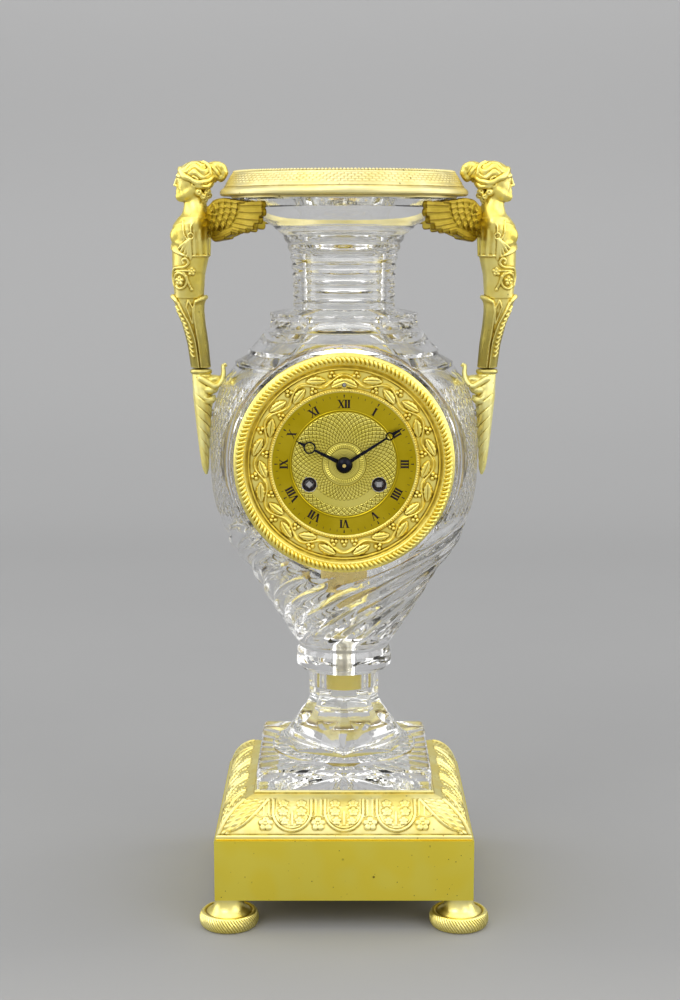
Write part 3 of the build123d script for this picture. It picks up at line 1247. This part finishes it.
# Hammer: arbor, tail towards the strike pins, and an arm back to the bell
with BuildPart() as hammer:
    arbor(HAMMER_PIVOT, THIRD_LAYER, THIRD_LAYER)
    way_to_pins = degrees(bearing(HAMMER_PIVOT, PINWHEEL))
    pin_reach = STRIKE_PIN_CIRCLE + STRIKE_PIN_RADIUS + 2 * SEAT_GAP
    tail = hypot(PINWHEEL[0] - HAMMER_PIVOT[0], PINWHEEL[1] - HAMMER_PIVOT[1]) - pin_reach
    tail_front = PINWHEEL_LAYER + WHEEL_THICKNESS + SEAT_GAP
    tail_end = polar(HAMMER_PIVOT, tail, way_to_pins)
    bar(HAMMER_PIVOT, tail_end, HAMMER_ARM, tail_front, tail_front + WHEEL_THICKNESS)
    disc(HAMMER_PIVOT, PIVOT_RADIUS, BACK_FACE, CRUTCH_LAYER + WHEEL_THICKNESS)
    disc(HAMMER_PIVOT, HUB_RADIUS, CRUTCH_LAYER, CRUTCH_LAYER + WHEEL_THICKNESS)
    bar(HAMMER_PIVOT, HAMMER_HEAD, HAMMER_ARM, CRUTCH_LAYER, CRUTCH_LAYER + WHEEL_THICKNESS)
    disc(HAMMER_HEAD, HAMMER_ARM / 2, CRUTCH_LAYER, BELL_RIM)
    disc(HAMMER_HEAD, HAMMER_RADIUS, BELL_RIM - HAMMER_RADIUS, BELL_RIM + HAMMER_RADIUS)
save(hammer, "hammer")

# Bell on its stand
crown = BELL_RIM + BELL_HEIGHT
with BuildPart() as bell:
    with BuildSketch(Plane.XY.offset(DIAL_HEIGHT)):
        with BuildLine():
            bore = BELL_SCREW_RADIUS + SCREW_GAP
            inner_radius = BELL_RADIUS - BELL_WALL
            inner_crown = crown - BELL_WALL
            Line((BELL_RADIUS, BELL_RIM), (inner_radius, BELL_RIM))
            RadiusArc((inner_radius, BELL_RIM), (bore, inner_crown), -BELL_ROUND)
            Line((bore, inner_crown), (bore, crown))
            RadiusArc((bore, crown), (BELL_RADIUS, BELL_RIM), BELL_ROUND)
        make_face()
    revolve(axis=DIAL_AXIS)
save(bell, "bell")

with BuildPart() as bell_stand:
    arm_back = BELL_RIM - 2 * SEAT_GAP
    arm_front = arm_back - 2 * BELL_POST_RADIUS
    disc(BELL_POST, BELL_POST_RADIUS, BACK_FACE, arm_back)
    bar(BELL_POST, CENTRE, 2 * BELL_POST_RADIUS, arm_front, arm_back)
    disc(CENTRE, BELL_POST_RADIUS, arm_front, crown - BELL_WALL - SEAT_GAP)
    disc(CENTRE, BELL_SCREW_RADIUS, arm_front, crown + BELL_POST_RADIUS)
save(bell_stand, "bell_stand")

# Back bezel with its spigot and hinge knuckles
door_front = -FLAT + BACK_BEZEL_RISE + DOOR_GAP
door_back = door_front + DOOR_THICKNESS
hinge = (BACK_BEZEL_RADIUS, door_front + HINGE_RADIUS)
knuckle_gap = HINGE_LENGTH + 2 * SEAT_GAP
with BuildPart() as back_bezel:
    with BuildSketch(Plane.XY.offset(DIAL_HEIGHT)):
        with BuildLine():
            Polyline(
                (SPIGOT_INNER, -FLAT - SPIGOT_DEPTH),
                (SPIGOT_OUTER, -FLAT - SPIGOT_DEPTH),
                (SPIGOT_OUTER, -FLAT),
                (BACK_BEZEL_RADIUS, -FLAT),
                (BACK_BEZEL_RADIUS, -FLAT + BACK_BEZEL_RISE),
                (SPIGOT_INNER, -FLAT + BACK_BEZEL_RISE),
                close=True,
            )
        make_face()
    revolve(axis=DIAL_AXIS)
    for angle in STRAP_ANGLES:
        spoke(angle, -PLATE_MIDDLE, DIAL_RADIUS, SPIGOT_OUTER, SCREW_RADIUS + SCREW_GAP, mode=Mode.SUBTRACT)
    for way in (-1, 1):
        middle = DIAL_HEIGHT + way * (knuckle_gap + HINGE_LENGTH) / 2
        lug_depth = hinge[1] + FLAT
        with Locations((hinge[0], -FLAT + lug_depth / 2, middle)):
            Box(2 * HINGE_RADIUS, lug_depth, HINGE_LENGTH)
        with Locations((hinge[0], hinge[1], middle)):
            Cylinder(HINGE_RADIUS, HINGE_LENGTH)
            Cylinder(HINGE_PIN_RADIUS + SCREW_GAP, HINGE_LENGTH, mode=Mode.SUBTRACT)
save(back_bezel, "back_bezel")

# Back door: frame with a rebate for its glass, hinge knuckle and thumb piece
with BuildPart() as back_door:
    disc(CENTRE, DOOR_RADIUS, door_front, door_back)
    web = (hinge[0], 0.0)
    bar((DOOR_OPENING, 0.0), web, HINGE_LENGTH, door_front, door_back)
    with Locations((hinge[0], hinge[1], DIAL_HEIGHT)):
        Cylinder(HINGE_RADIUS, HINGE_LENGTH)
        Cylinder(HINGE_PIN_RADIUS + SHAFT_GAP, HINGE_LENGTH, mode=Mode.SUBTRACT)
    thumb_end = (-DOOR_RADIUS - THUMB_LENGTH, 0.0)
    bar(thumb_end, (-DOOR_OPENING, 0.0), HINGE_LENGTH, door_back - THUMB_THICKNESS, door_back)
    disc(CENTRE, DOOR_OPENING, door_front, door_back, mode=Mode.SUBTRACT)
    rebate_back = door_front + SEAT_GAP + GLASS_THICKNESS
    disc(CENTRE, GLASS_RADIUS + SCREW_GAP, door_front, rebate_back, mode=Mode.SUBTRACT)
save(back_door, "back_door")

with BuildPart() as door_glass:
    disc(CENTRE, GLASS_RADIUS, rebate_back - GLASS_THICKNESS, rebate_back)
save(door_glass, "door_glass")

with BuildPart() as hinge_pin:
    with Locations((hinge[0], hinge[1], DIAL_HEIGHT)):
        Cylinder(HINGE_PIN_RADIUS, knuckle_gap + 2 * HINGE_LENGTH)
save(hinge_pin, "hinge_pin")
